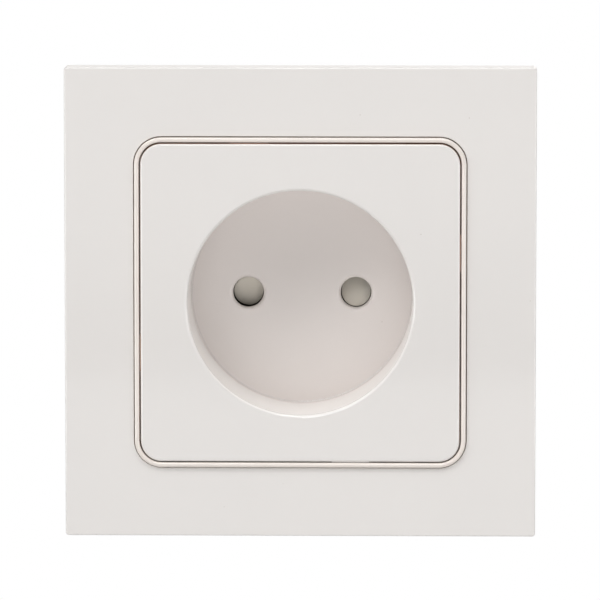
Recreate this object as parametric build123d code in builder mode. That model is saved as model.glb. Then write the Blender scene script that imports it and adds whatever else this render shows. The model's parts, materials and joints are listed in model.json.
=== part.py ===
from build123d import *
import os
from math import sqrt

os.makedirs("parts", exist_ok=True)

# Flush wall socket: a square cover frame, a trim ring and a centre plate with a round plug well,
# on a steel support plate that carries the contact body and two spreading claws.
# X is to the right, Y goes into the wall and Z is up, in millimetres.
# The origin is the middle of the socket on the wall plane.
# A height is measured out of the wall, so it is negative for what lies in the wall box.

# Outer frame
frame_size = 82.0
frame_face = 8.4
frame_wall = 2.0
frame_face_thickness = 2.2
frame_corner = 0.6
frame_edge_round = 0.25
frame_draft = 0.5
frame_foot_height = 3.4
frame_foot_inset = 0.8
frame_window_round = 0.15
frame_ring_gap = 0.15
frame_rim_wall = 1.5
frame_ledge_thickness = 1.2
frame_rib_thickness = 1.2
frame_rib_offset = 22.0

# Trim ring
ring_width = 0.85
ring_rise = 0.7
ring_round = 0.35
ring_plate_gap = 0.22
ring_foot_width = 1.35
ring_foot_thickness = 1.0

# Centre plate and plug well
plate_size = 55.5
plate_corner = 3.65
plate_rise = 0.8
plate_thickness = 2.0
plate_edge_round = 0.35
plate_skirt_wall = 1.4
plate_skirt_depth = 1.2
well_diameter = 39.2
well_depth = 17.0
well_wall = 1.6
well_rim_round = 0.5
well_floor_round = 0.25
well_floor_thickness = 1.5
pin_spacing = 19.0
pin_diameter = 4.8
pin_hole_diameter = 5.4
pin_hole_round = 0.7
pin_guide_play = 0.2
gusset_thickness = 1.2
gusset_drop = 3.2
centring_rib_length = 6.5
centring_rib_offset = 8.75
centring_rib_height = 0.15
centring_rib_recess = 0.5

# Snap hooks under the centre plate
hook_offset = 10.0
hook_width = 6.0
hook_thickness = 1.4
hook_inset = 0.9
hook_barb = 0.9
hook_tip = 1.8
hook_play = 0.1
latch_clearance = 0.25

# Safety shutter, its cup and its springs
pivot_diameter = 3.0
pivot_play = 0.1
hub_diameter = 8.4
wing_cover = 0.6
wing_thickness = 1.2
pad_play = 0.12
pad_low_height = 1.5
arm_width = 1.8
shutter_play = 0.15
cup_depth = 4.8
cup_wall = 1.2
cup_floor = 1.2
cup_wing_clearance = 3.0
stop_length = 2.5
stop_thickness = 1.5
stop_play = 0.1
spring_offset = 5.0
spring_length = 8.0
spring_diameter = 2.8
spring_wire = 0.4
spring_turns = 5
spring_play = 0.1
spring_seat_width = 3.6
spring_seat_thickness = 1.6
cup_screw_diameter = 2.0
cup_screw_length = 5.0
cup_screw_tip_play = 0.3
cup_screw_head_diameter = 4.0
cup_screw_head_height = 1.2
cup_screw_clearance = 0.4

# Support plate
support_thickness = 1.0
support_margin = 3.0
support_corner = 8.0
support_lip_length = 28.0
support_lip_height = 2.0
well_clearance = 0.9
box_screw_spacing = 60.0
box_slot_width = 4.0
box_slot_length = 8.0
nail_hole_offset = 27.5
nail_hole_diameter = 3.2

# Contact body behind the support plate
base_wall = 1.8
base_width = 42.4
base_corner = 2.0
base_window = 18.0
block_front_wall = 1.6
chamber_depth = 10.0
chamber_width = 9.6
chamber_top = 5.0
terminal_wall = 3.6
rivet_diameter = 3.1
rivet_head_diameter = 5.0
rivet_head_height = 0.7
rivet_head_bevel = 0.35
rivet_bore = 1.6
rivet_length = 6.0
rivet_margin = 0.8
rivet_play = 0.05
boss_diameter = 6.0
boss_depth = 8.0

# Rear cover
cover_thickness = 1.6
cover_edge_bevel = 0.5
wire_hole_diameter = 3.6
wire_hole_pitch = 4.8
wire_funnel = 0.4
strip_gauge_length = 11.0
strip_gauge_width = 2.8
strip_gauge_depth = 0.5
strip_gauge_place = 4.5
cover_screw_offset = 14.0
cover_screw_diameter = 2.4
cover_screw_length = 7.0
cover_screw_head_diameter = 4.6
cover_screw_head_height = 1.0
screw_play = 0.05

# Contacts and terminals
contact_sheet = 0.8
sleeve_slot = 2.6
sleeve_setback = 0.6
contact_back_width = 6.4
terminal_drop = 12.8
clip_thickness = 0.5
clip_width = 3.0
clip_opening = 3.0
clip_setback = 2.0
clip_play = 0.05
cage_wall = 1.0
cage_inner_width = 6.4
cage_inner_height = 6.0
cage_play = 0.3
terminal_screw_diameter = 3.5
terminal_screw_length = 4.4
terminal_head_diameter = 5.2
terminal_head_height = 2.2
terminal_head_recess = 0.4
terminal_bore_play = 0.3

# Spreading claws
claw_sheet = 1.2
claw_width = 8.8
claw_lever = 2.9
claw_depth = 17.0
claw_lip = 1.0
claw_tooth = 1.0
claw_bend = 0.9
claw_teeth = 4
claw_play = 0.2
pivot_gap = 1.8
pivot_height = -3.5
trunnion_diameter = 1.6
trunnion_play = 0.15
ear_thickness = 1.0
ear_wall = 1.1
tail_gap = 1.1
claw_screw_diameter = 3.0
claw_screw_length = 19.0
claw_head_diameter = 5.6
claw_head_height = 1.8
claw_screw_play = 0.2
claw_slot_play = 0.35
claw_head_bevel = 0.4
drive_slot = 0.8
drive_depth = 1.0

# Heights that follow from the stack of pieces
plate_face = frame_face + plate_rise
plate_under = plate_face - plate_thickness
foot_top = plate_under - plate_skirt_depth
ledge_top = foot_top - ring_foot_thickness
ledge_bottom = ledge_top - frame_ledge_thickness
face_under = frame_face - frame_face_thickness
ring_crest = frame_face + ring_rise
floor_front = plate_face - well_depth
floor_back = floor_front - well_floor_thickness
cup_floor_front = floor_back - cup_depth
cup_back = cup_floor_front - cup_floor
block_front = cup_back - cup_screw_head_height - cup_screw_clearance
chamber_front = block_front - block_front_wall
cover_front = chamber_front - chamber_depth
cover_back = cover_front - cover_thickness

# Widths and radii that follow from what fits in what
ring_inner = plate_size + 2 * ring_plate_gap
ring_outer = ring_inner + 2 * ring_width
ring_inner_corner = plate_corner + ring_plate_gap
ring_outer_corner = ring_inner_corner + ring_width
foot_opening = ring_inner - 2 * ring_foot_width
foot_corner = ring_inner_corner - ring_foot_width
window = ring_outer + 2 * frame_ring_gap
window_corner = ring_outer_corner + frame_ring_gap
support_size = frame_size - 2 * frame_wall - 2 * support_margin
well_radius = well_diameter / 2
well_outer = well_radius + well_wall
opening_radius = well_outer + well_clearance
base_outer = opening_radius + base_wall
pin_x = pin_spacing / 2
guide_radius = pin_hole_diameter / 2 + pin_guide_play
wing_half = pin_hole_diameter / 2 + wing_cover
wing_reach = pin_x + wing_half
pad_radius = pin_hole_diameter / 2 - pad_play
arm_reach = spring_offset + spring_diameter / 2
cup_inner = wing_reach + cup_wing_clearance
cup_outer = cup_inner + cup_wall
hook_outer = foot_opening / 2 - hook_inset
hook_inner = hook_outer - hook_thickness
rivet_place = (base_outer + rivet_margin) / sqrt(2)
cage_width = cage_inner_width + 2 * cage_wall
cage_height = cage_inner_height + 2 * cage_wall
cage_front = chamber_front - sleeve_setback
cage_back = cover_front + contact_sheet + cage_play
cage_middle = (cage_front + cage_back) / 2
cage_bottom = -terminal_drop - cage_height / 2
chamber_bottom = cage_bottom - cage_play
base_bottom = chamber_bottom - terminal_wall
base_height = base_outer - base_bottom
base_middle = (base_outer + base_bottom) / 2
tongue_top = -terminal_drop + cage_inner_height / 2 - screw_play
pivot_x = well_outer + pivot_gap
claw_screw_x = pivot_x + claw_lever
tail_inner = claw_screw_x + claw_screw_diameter / 2 + tail_gap
ear_gap = claw_width + 2 * claw_play
sides = {"left": -1, "right": 1}


def level(height):
    """Plane parallel to the wall at a height out of it, seen from the front."""
    return Plane.XZ.offset(height)


def body_outline(height):
    """Outline of the contact body at a height: a disc trimmed to width, with rounded corners."""
    with BuildSketch(level(height)) as outline:
        Circle(base_outer)
        with Locations((0, base_middle)):
            Rectangle(base_width, base_height, mode=Mode.INTERSECT)
        fillet(outline.vertices(), base_corner)
    return outline.sketch


def section(x, side):
    """Plane across X whose own axes are Z (turned by side) and the height out of the wall."""
    return Plane(origin=(x, 0, 0), x_dir=(0, 0, side), z_dir=(side, 0, 0))


def plan(side):
    """Plane across Z whose own axes are X (turned by side) and the height out of the wall."""
    return Plane(origin=(0, 0, 0), x_dir=(side, 0, 0), z_dir=(0, 0, -side))


def save(builder, name):
    """Label a finished piece and write it to its own file."""
    builder.part.label = name
    export_step(builder.part, f"parts/{name}.step")


# Outer frame: a drafted shell on a set-back foot, with a stepped window and ribs down to the support plate
with BuildPart() as outer_frame:
    with BuildSketch(level(frame_foot_height)):
        RectangleRounded(frame_size, frame_size, frame_corner)
    extrude(amount=frame_face - frame_foot_height, taper=frame_draft)
    fillet(outer_frame.faces().sort_by(Axis.Y)[0].edges(), frame_edge_round)
    with BuildSketch(level(0)):
        foot_size = frame_size - 2 * frame_foot_inset
        RectangleRounded(foot_size, foot_size, frame_corner)
    extrude(amount=frame_foot_height)
    with BuildSketch(level(0)):
        RectangleRounded(frame_size - 2 * frame_wall, frame_size - 2 * frame_wall, frame_corner)
    extrude(amount=face_under, mode=Mode.SUBTRACT)
    rim = window + 2 * frame_rim_wall
    with BuildSketch(level(ledge_bottom)):
        RectangleRounded(rim, rim, window_corner + frame_rim_wall)
    extrude(amount=face_under - ledge_bottom)
    with BuildSketch(level(support_thickness)):
        rib_length = (frame_size - frame_wall - rim) / 2
        rib_middle = (rim + rib_length) / 2
        with GridLocations(2 * rib_middle, 2 * frame_rib_offset, 2, 2):
            Rectangle(rib_length, frame_rib_thickness)
        with GridLocations(2 * frame_rib_offset, 2 * rib_middle, 2, 2):
            Rectangle(frame_rib_thickness, rib_length)
    extrude(amount=face_under - support_thickness)
    with BuildSketch(level(ledge_top)):
        RectangleRounded(window, window, window_corner)
    extrude(amount=frame_face - ledge_top, mode=Mode.SUBTRACT)
    fillet(outer_frame.faces().sort_by(Axis.Y)[0].inner_wires()[0].edges(), frame_window_round)
    with BuildSketch(level(0)):
        RectangleRounded(foot_opening, foot_opening, foot_corner)
    extrude(amount=frame_face, mode=Mode.SUBTRACT)
save(outer_frame, "outer_frame")

# Trim ring: a rounded web that stands a little lower than the plate, on a foot that the plate presses down
with BuildPart() as trim_ring:
    with BuildSketch(level(ledge_top)):
        RectangleRounded(ring_outer, ring_outer, ring_outer_corner)
        RectangleRounded(ring_inner, ring_inner, ring_inner_corner, mode=Mode.SUBTRACT)
    extrude(amount=ring_crest - ledge_top)
    fillet(trim_ring.faces().sort_by(Axis.Y)[0].edges(), ring_round)
    with BuildSketch(level(ledge_top)):
        RectangleRounded(ring_outer, ring_outer, ring_outer_corner)
        RectangleRounded(foot_opening, foot_opening, foot_corner, mode=Mode.SUBTRACT)
    extrude(amount=ring_foot_thickness)
save(trim_ring, "trim_ring")

# Centre plate: face, skirt, plug well with its floor, pivot post, gussets and snap hooks
with BuildPart() as centre_plate:
    with BuildSketch(level(foot_top)):
        RectangleRounded(plate_size, plate_size, plate_corner)
    extrude(amount=plate_face - foot_top)
    fillet(centre_plate.faces().sort_by(Axis.Y)[0].edges(), plate_edge_round)
    skirt_inside = plate_size - 2 * plate_skirt_wall
    with BuildSketch(level(foot_top)):
        RectangleRounded(skirt_inside, skirt_inside, plate_corner - plate_skirt_wall)
    extrude(amount=plate_skirt_depth, mode=Mode.SUBTRACT)
    with BuildSketch(level(floor_back)):
        Circle(well_outer)
    extrude(amount=plate_under - floor_back)
    with BuildSketch(level(plate_under - gusset_drop)):
        gusset_reach = foot_opening / 2 - hook_inset
        with PolarLocations(0, 8):
            with Locations((gusset_reach / 2, 0)):
                Rectangle(gusset_reach, gusset_thickness)
    extrude(amount=gusset_drop)
    with BuildSketch(level(floor_front)):
        Circle(well_radius)
    extrude(amount=well_depth, mode=Mode.SUBTRACT)
    fillet(centre_plate.faces().filter_by(GeomType.CYLINDER).filter_by(
        lambda face: abs(face.radius - well_radius) < 0.01).edges().sort_by(Axis.Y)[0], well_rim_round)
    fillet(centre_plate.faces().filter_by(GeomType.CYLINDER).filter_by(
        lambda face: abs(face.radius - well_radius) < 0.01).edges().sort_by(Axis.Y)[-1], well_floor_round)
    with Locations(level(floor_front)):
        with GridLocations(pin_spacing, 0, 2, 1):
            Hole(pin_hole_diameter / 2, well_floor_thickness)
    fillet(centre_plate.edges().filter_by(GeomType.CIRCLE).filter_by(
        lambda edge: abs(edge.radius - pin_hole_diameter / 2) < 0.01).group_by(Axis.Y)[0], pin_hole_round)
    with BuildSketch(level(foot_top)):
        for turn in range(4):
            with Locations(Location((0, 0, 0), (0, 0, 90 * turn))):
                with Locations((plate_size / 2, centring_rib_offset)):
                    Rectangle(2 * centring_rib_height, centring_rib_length)
    extrude(amount=plate_face - foot_top - centring_rib_recess)
    for side in sides.values():
        for x in (-hook_offset, hook_offset):
            with BuildSketch(section(x, side)):
                with BuildLine():
                    Polyline(
                        (hook_inner, plate_under), (hook_outer, plate_under), (hook_outer, -hook_play),
                        (hook_outer + hook_barb, -hook_play), (hook_inner + hook_thickness / 2, -hook_tip),
                        (hook_inner, -hook_tip), close=True)
                make_face()
            extrude(amount=hook_width / 2, both=True)
    with BuildSketch(level(floor_back)):
        Circle(pivot_diameter / 2)
    extrude(amount=-cup_depth)
    with BuildSketch(level(cup_floor_front)):
        Circle(cup_screw_diameter / 2 + screw_play)
    extrude(amount=cup_screw_length - cup_floor + cup_screw_tip_play, mode=Mode.SUBTRACT)
save(centre_plate, "centre_plate")

# Safety shutter: a rotor with two wings, whose round pads close the pin holes and slope in opposite ways
with BuildPart() as shutter:
    shutter_front = floor_back - shutter_play
    shutter_back = cup_floor_front + shutter_play
    wing_front = shutter_back + wing_thickness
    with BuildSketch(level(shutter_back)):
        SlotCenterToCenter(pin_spacing, 2 * wing_half)
    extrude(amount=wing_thickness)
    with BuildSketch(level(shutter_back)):
        Circle(hub_diameter / 2)
        for side in sides.values():
            with Locations((side * arm_reach / 2, side * (arm_width / 2 - wing_half))):
                Rectangle(arm_reach, arm_width)
    extrude(amount=shutter_front - shutter_back)
    for side in sides.values():
        with BuildPart(mode=Mode.PRIVATE) as pad:
            with BuildSketch(section(0, side)):
                with BuildLine():
                    Polyline(
                        (-pad_radius, shutter_front), (-pad_radius, wing_front), (pad_radius, wing_front),
                        (pad_radius, wing_front + pad_low_height), close=True)
                make_face()
            extrude(amount=wing_reach)
            with BuildSketch(level(wing_front)):
                with Locations((side * pin_x, 0)):
                    Circle(pad_radius)
            extrude(amount=shutter_front - wing_front, mode=Mode.INTERSECT)
        add(pad.part)
    with BuildSketch(level(shutter_back)):
        Circle(pivot_diameter / 2 + pivot_play)
    extrude(amount=shutter_front - shutter_back, mode=Mode.SUBTRACT)
save(shutter, "shutter")

# Shutter cup: closes the back of the shutter, with stops for the wings and seats for the springs
spring_start = wing_half + spring_play
seat_front = spring_start + spring_length + spring_play
with BuildPart() as shutter_cup:
    with BuildSketch(level(cup_back)):
        Circle(cup_outer)
    extrude(amount=floor_back - cup_back)
    with BuildSketch(level(cup_floor_front)):
        Circle(cup_inner)
    extrude(amount=cup_depth, mode=Mode.SUBTRACT)
    with BuildSketch(level(cup_floor_front)):
        for side in sides.values():
            with Locations((side * spring_offset, -side * (seat_front + spring_seat_thickness / 2))):
                Rectangle(spring_seat_width, spring_seat_thickness)
            stop_z = wing_half + stop_play + stop_thickness / 2
            with Locations((side * (pin_x - stop_length / 2), side * stop_z)):
                Rectangle(stop_length, stop_thickness)
    extrude(amount=cup_depth - shutter_play)
    with BuildSketch(level(cup_back)):
        with GridLocations(pin_spacing, 0, 2, 1):
            Circle(guide_radius)
        Circle(cup_screw_diameter / 2 + screw_play)
    extrude(amount=cup_floor, mode=Mode.SUBTRACT)
save(shutter_cup, "shutter_cup")

# Screw that holds the cup on the pivot post
with BuildPart() as shutter_cup_screw:
    with BuildSketch(level(cup_back)):
        Circle(cup_screw_head_diameter / 2)
    extrude(amount=-cup_screw_head_height)
    with BuildSketch(level(cup_back)):
        Circle(cup_screw_diameter / 2)
    extrude(amount=cup_screw_length)
    with BuildSketch(level(cup_back - cup_screw_head_height)):
        Rectangle(cup_screw_head_diameter, drive_slot)
    extrude(amount=cup_screw_head_height / 2, mode=Mode.SUBTRACT)
save(shutter_cup_screw, "shutter_cup_screw")

# Return springs of the shutter, one under each wing
for name, side in sides.items():
    with BuildPart() as shutter_spring:
        coil_length = spring_length - spring_wire
        coil_radius = (spring_diameter - spring_wire) / 2
        coil_base = -side * (spring_start + spring_wire / 2)
        coil_place = (side * spring_offset, -(floor_back + cup_floor_front) / 2, coil_base)
        with BuildLine() as coil:
            Helix(coil_length / spring_turns, coil_length, coil_radius, coil_place, (0, 0, -side))
        with BuildSketch(Plane(origin=coil.line @ 0, z_dir=coil.line % 0)):
            RegularPolygon(spring_wire / 2, 6)
        sweep(is_frenet=True)
    save(shutter_spring, f"shutter_spring_{name}")

# Support plate: pierced and bent sheet with slots, latches and ears for the claws
with BuildPart() as support_plate:
    with BuildSketch(level(0)):
        RectangleRounded(support_size, support_size, support_corner)
        Circle(opening_radius, mode=Mode.SUBTRACT)
        with GridLocations(0, box_screw_spacing, 1, 2):
            SlotOverall(box_slot_length, box_slot_width, rotation=90, mode=Mode.SUBTRACT)
        with GridLocations(2 * nail_hole_offset, 2 * nail_hole_offset, 2, 2):
            Circle(nail_hole_diameter / 2, mode=Mode.SUBTRACT)
        with GridLocations(2 * rivet_place, 2 * rivet_place, 2, 2):
            Circle(rivet_diameter / 2 + rivet_play, mode=Mode.SUBTRACT)
        with GridLocations(2 * claw_screw_x, 0, 2, 1):
            Circle(claw_screw_diameter / 2 + claw_screw_play, mode=Mode.SUBTRACT)
        latch_depth = hook_thickness + 2 * latch_clearance
        with GridLocations(2 * hook_offset, hook_inner + hook_outer, 2, 2):
            Rectangle(hook_width + 2 * latch_clearance, latch_depth, mode=Mode.SUBTRACT)
    extrude(amount=support_thickness)
    with BuildSketch(level(support_thickness)):
        with GridLocations(support_size - support_thickness, 0, 2, 1):
            Rectangle(support_thickness, support_lip_length)
    extrude(amount=support_lip_height)
    ear_radius = trunnion_diameter / 2 + trunnion_play + ear_wall
    for side in sides.values():
        for ear in (-1, 1):
            with BuildSketch(plan(side).offset(ear * (ear_gap + ear_thickness) / 2)):
                with Locations((pivot_x, pivot_height / 2)):
                    Rectangle(2 * ear_radius, -pivot_height)
                with Locations((pivot_x, pivot_height)):
                    Circle(ear_radius)
                    Circle(trunnion_diameter / 2 + trunnion_play, mode=Mode.SUBTRACT)
            extrude(amount=ear_thickness / 2, both=True)
save(support_plate, "support_plate")

# Rivets that hold the contact body on the support plate
with BuildPart() as base_rivets:
    with BuildSketch(level(support_thickness)):
        with GridLocations(2 * rivet_place, 2 * rivet_place, 2, 2):
            Circle(rivet_head_diameter / 2)
    extrude(amount=rivet_head_height)
    chamfer(base_rivets.faces().sort_by(Axis.Y)[:4].edges(), rivet_head_bevel)
    with BuildSketch(level(support_thickness)):
        with GridLocations(2 * rivet_place, 2 * rivet_place, 2, 2):
            Circle(rivet_diameter / 2)
    extrude(amount=-rivet_length)
    with BuildSketch(level(support_thickness + rivet_head_height)):
        with GridLocations(2 * rivet_place, 2 * rivet_place, 2, 2):
            Circle(rivet_bore / 2)
    extrude(amount=-rivet_length, mode=Mode.SUBTRACT)
save(base_rivets, "base_rivets")

# Contact body: two walls that reach the support plate and a block with the contact chambers
with BuildPart() as mechanism_base:
    extrude(body_outline(cover_front), amount=-cover_front)
    with BuildSketch(level(block_front)):
        Circle(opening_radius)
        Rectangle(2 * base_outer, base_window)
    extrude(amount=-block_front, mode=Mode.SUBTRACT)
    with BuildSketch(level(0)):
        with GridLocations(2 * rivet_place, 2 * rivet_place, 2, 2):
            Circle(boss_diameter / 2)
        Circle(opening_radius, mode=Mode.SUBTRACT)
    extrude(amount=-boss_depth)
    with BuildSketch(level(0)):
        with GridLocations(2 * rivet_place, 2 * rivet_place, 2, 2):
            Circle(rivet_diameter / 2 + rivet_play)
    extrude(amount=-rivet_length, mode=Mode.SUBTRACT)
    with BuildSketch(level(cover_front)):
        with Locations((0, (chamber_top + chamber_bottom) / 2)):
            with GridLocations(pin_spacing, 0, 2, 1):
                Rectangle(chamber_width, chamber_top - chamber_bottom)
    extrude(amount=chamber_depth, mode=Mode.SUBTRACT)
    with BuildSketch(level(chamber_front)):
        with GridLocations(pin_spacing, 0, 2, 1):
            Circle(guide_radius)
    extrude(amount=block_front_wall, mode=Mode.SUBTRACT)
    with BuildSketch(Plane.XY.offset(base_bottom)):
        with Locations((-pin_x, -cage_middle), (pin_x, -cage_middle)):
            Circle(terminal_head_diameter / 2 + terminal_bore_play)
    extrude(amount=terminal_wall, mode=Mode.SUBTRACT)
    with BuildSketch(level(cover_front)):
        with GridLocations(0, 2 * cover_screw_offset, 1, 2):
            Circle(cover_screw_diameter / 2 + screw_play)
    extrude(amount=cover_screw_length, mode=Mode.SUBTRACT)
save(mechanism_base, "mechanism_base")

# Rear cover: closes the chambers and guides the wires into the terminals
with BuildPart() as rear_cover:
    extrude(body_outline(cover_back), amount=cover_thickness)
    chamfer(rear_cover.faces().sort_by(Axis.Y)[-1].edges(), cover_edge_bevel)
    with BuildSketch(level(cover_back)):
        with Locations((0, strip_gauge_place)):
            Rectangle(strip_gauge_length, strip_gauge_width)
    extrude(amount=strip_gauge_depth, mode=Mode.SUBTRACT)
    with Locations(level(cover_back).location * Location((0, 0, 0), (0, 180, 0))):
        with Locations((-pin_x, -terminal_drop), (pin_x, -terminal_drop)):
            with GridLocations(wire_hole_pitch, 0, 2, 1):
                CounterSinkHole(
                    wire_hole_diameter / 2, wire_hole_diameter / 2 + wire_funnel, cover_thickness, 90)
        with GridLocations(0, 2 * cover_screw_offset, 1, 2):
            CounterBoreHole(
                cover_screw_diameter / 2 + screw_play, cover_screw_head_diameter / 2 + screw_play,
                cover_screw_head_height, cover_thickness)
save(rear_cover, "rear_cover")

# Screws of the rear cover
with BuildPart() as rear_cover_screws:
    with BuildSketch(level(cover_back)):
        with GridLocations(0, 2 * cover_screw_offset, 1, 2):
            Circle(cover_screw_head_diameter / 2)
    extrude(amount=cover_screw_head_height)
    with BuildSketch(level(cover_back + cover_screw_head_height)):
        with GridLocations(0, 2 * cover_screw_offset, 1, 2):
            Circle(cover_screw_diameter / 2)
    extrude(amount=cover_screw_length)
    with BuildSketch(level(cover_back)):
        with GridLocations(0, 2 * cover_screw_offset, 1, 2):
            Rectangle(cover_screw_head_diameter, drive_slot)
    extrude(amount=cover_screw_head_height / 2, mode=Mode.SUBTRACT)
save(rear_cover_screws, "rear_cover_screws")

# Contacts with their clips, cages and terminal screws
sleeve_radius = pin_diameter / 2
sleeve_outer = sleeve_radius + contact_sheet
sleeve_front = chamber_front - sleeve_setback
clip_inner = sleeve_outer + clip_play
clip_outer = clip_inner + clip_thickness
tongue_bottom = tongue_top - contact_sheet
tongue_width = cage_inner_width - 2 * cage_play
screw_head_bottom = base_bottom + terminal_head_recess
screw_head_top = screw_head_bottom + terminal_head_height
for name, side in sides.items():
    middle = side * pin_x
    with BuildPart() as contact:
        with BuildSketch(level(cover_front)):
            with Locations((middle, (sleeve_outer + tongue_bottom) / 2)):
                Rectangle(contact_back_width, sleeve_outer - tongue_bottom)
        extrude(amount=contact_sheet)
        with BuildSketch(level(cover_front)):
            with Locations((middle, (tongue_top + tongue_bottom) / 2)):
                Rectangle(tongue_width, contact_sheet)
        extrude(amount=cage_front - cover_front)
        with BuildSketch(level(cover_front)):
            with Locations((middle, 0)):
                Circle(sleeve_outer)
                Circle(sleeve_radius, mode=Mode.SUBTRACT)
                Rectangle(sleeve_slot, 2 * sleeve_outer, mode=Mode.SUBTRACT)
        extrude(amount=sleeve_front - cover_front)
    save(contact, f"contact_{name}")

    with BuildPart() as contact_spring:
        with BuildSketch(level(sleeve_front - clip_setback)):
            with Locations((middle, 0)):
                Circle(clip_outer)
                Circle(clip_inner, mode=Mode.SUBTRACT)
                with Locations((0, clip_outer / 2)):
                    Rectangle(clip_opening, clip_outer, mode=Mode.SUBTRACT)
        extrude(amount=-clip_width)
    save(contact_spring, f"contact_spring_{name}")

    with BuildPart() as terminal_cage:
        with BuildSketch(level(cage_back)):
            with Locations((middle, -terminal_drop)):
                Rectangle(cage_width, cage_height)
                Rectangle(cage_inner_width, cage_inner_height, mode=Mode.SUBTRACT)
        extrude(amount=cage_front - cage_back)
        with BuildSketch(Plane.XY.offset(cage_bottom)):
            with Locations((middle, -cage_middle)):
                Circle(terminal_screw_diameter / 2 + screw_play)
        extrude(amount=cage_wall, mode=Mode.SUBTRACT)
    save(terminal_cage, f"terminal_cage_{name}")

    with BuildPart() as terminal_screw:
        with BuildSketch(Plane.XY.offset(screw_head_bottom)):
            with Locations((middle, -cage_middle)):
                Circle(terminal_head_diameter / 2)
        extrude(amount=terminal_head_height)
        with BuildSketch(Plane.XY.offset(screw_head_top)):
            with Locations((middle, -cage_middle)):
                Circle(terminal_screw_diameter / 2)
        extrude(amount=terminal_screw_length)
        with BuildSketch(Plane.XY.offset(screw_head_bottom)):
            with Locations((middle, -cage_middle)):
                Rectangle(terminal_head_diameter, drive_slot)
        extrude(amount=drive_depth, mode=Mode.SUBTRACT)
    save(terminal_screw, f"terminal_screw_{name}")

# Spreading claws, hinged in the ears of the support plate, and the screws that pull them
tail_outer = tail_inner + claw_sheet
arm_front = pivot_height + claw_sheet / 2
slot_inner = claw_screw_x - claw_screw_diameter / 2 - claw_slot_play
slot_outer = tail_inner - claw_sheet / 4
for name, side in sides.items():
    with BuildPart() as claw:
        with BuildSketch(plan(side)):
            with BuildLine():
                bent = FilletPolyline(
                    (pivot_x - trunnion_diameter / 2, arm_front), (tail_outer, arm_front),
                    (tail_outer, claw_lip - claw_depth), (tail_outer + claw_lip, -claw_depth),
                    radius=claw_bend)
                offset(bent, amount=claw_sheet, side=Side.RIGHT)
            make_face()
        extrude(amount=claw_width / 2, both=True)
        with BuildSketch(level(arm_front)):
            with Locations((side * (slot_inner + slot_outer) / 2, 0)):
                Rectangle(slot_outer - slot_inner, claw_screw_diameter + 2 * claw_slot_play)
        extrude(amount=-claw_sheet, mode=Mode.SUBTRACT)
        with BuildSketch(section(side * claw_screw_x, side)):
            with Locations((0, -claw_depth)):
                with GridLocations(claw_width / claw_teeth, 0, claw_teeth - 1, 1):
                    Rectangle(sqrt(2) * claw_tooth, sqrt(2) * claw_tooth, rotation=45)
        extrude(amount=tail_outer + claw_lip, mode=Mode.SUBTRACT)
        with BuildSketch(Plane.XY):
            with Locations((side * pivot_x, -pivot_height)):
                Circle(trunnion_diameter / 2)
        extrude(amount=ear_gap / 2 + ear_thickness, both=True)
    save(claw, f"claw_{name}")

    with BuildPart() as claw_screw:
        with BuildSketch(level(support_thickness)):
            with Locations((side * claw_screw_x, 0)):
                Circle(claw_head_diameter / 2)
        extrude(amount=claw_head_height)
        chamfer(claw_screw.faces().sort_by(Axis.Y)[0].edges(), claw_head_bevel)
        with BuildSketch(level(support_thickness)):
            with Locations((side * claw_screw_x, 0)):
                Circle(claw_screw_diameter / 2)
        extrude(amount=-claw_screw_length)
        with BuildSketch(level(support_thickness + claw_head_height)):
            with Locations((side * claw_screw_x, 0)):
                Rectangle(claw_head_diameter - 2 * drive_slot, drive_slot)
                Rectangle(drive_slot, claw_head_diameter - 2 * drive_slot)
        extrude(amount=-drive_depth, mode=Mode.SUBTRACT)
    save(claw_screw, f"claw_screw_{name}")
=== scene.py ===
"""Studio picture of a flush wall socket: finishes, return springs, threaded screws, light and camera."""

import json
import logging
import math
from dataclasses import dataclass, field
from enum import Enum
from typing import Callable, Mapping, Sequence, Union

import bmesh
import bpy
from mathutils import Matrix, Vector


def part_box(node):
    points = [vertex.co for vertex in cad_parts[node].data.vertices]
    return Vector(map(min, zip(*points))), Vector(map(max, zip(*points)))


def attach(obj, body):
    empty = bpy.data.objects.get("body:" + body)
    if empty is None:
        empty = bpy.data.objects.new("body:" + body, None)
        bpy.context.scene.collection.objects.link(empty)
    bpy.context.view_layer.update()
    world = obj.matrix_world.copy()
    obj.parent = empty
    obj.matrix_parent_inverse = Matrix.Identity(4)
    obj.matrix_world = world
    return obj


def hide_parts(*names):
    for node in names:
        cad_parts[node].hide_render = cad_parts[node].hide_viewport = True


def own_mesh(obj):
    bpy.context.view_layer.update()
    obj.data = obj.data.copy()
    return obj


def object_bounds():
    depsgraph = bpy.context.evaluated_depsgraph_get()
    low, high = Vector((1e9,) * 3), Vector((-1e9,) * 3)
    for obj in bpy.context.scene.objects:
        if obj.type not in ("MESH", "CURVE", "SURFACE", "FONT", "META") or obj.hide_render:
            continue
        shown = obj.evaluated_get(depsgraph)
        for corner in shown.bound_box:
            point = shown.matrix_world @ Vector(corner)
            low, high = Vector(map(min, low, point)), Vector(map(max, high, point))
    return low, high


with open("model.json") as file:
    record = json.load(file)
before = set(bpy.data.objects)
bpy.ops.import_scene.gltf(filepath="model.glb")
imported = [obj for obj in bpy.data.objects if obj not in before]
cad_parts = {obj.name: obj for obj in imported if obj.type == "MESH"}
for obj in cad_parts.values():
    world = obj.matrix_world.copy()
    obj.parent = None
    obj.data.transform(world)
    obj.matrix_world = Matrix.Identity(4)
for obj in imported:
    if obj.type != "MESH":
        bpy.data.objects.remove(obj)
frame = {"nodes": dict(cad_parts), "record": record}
CAD_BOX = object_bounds()

log = logging.getLogger("wall_socket")

MM = 0.001
WHITE = (1.0, 1.0, 1.0, 1.0)
COVERS = ("outer_frame", "trim_ring", "centre_plate")
SIDES = ("left", "right")

Triple = tuple[float, float, float]
Colour = Triple
Span = tuple[float, float]
Feed = Union["Value", bpy.types.NodeSocket, float, Sequence[float]]


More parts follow.
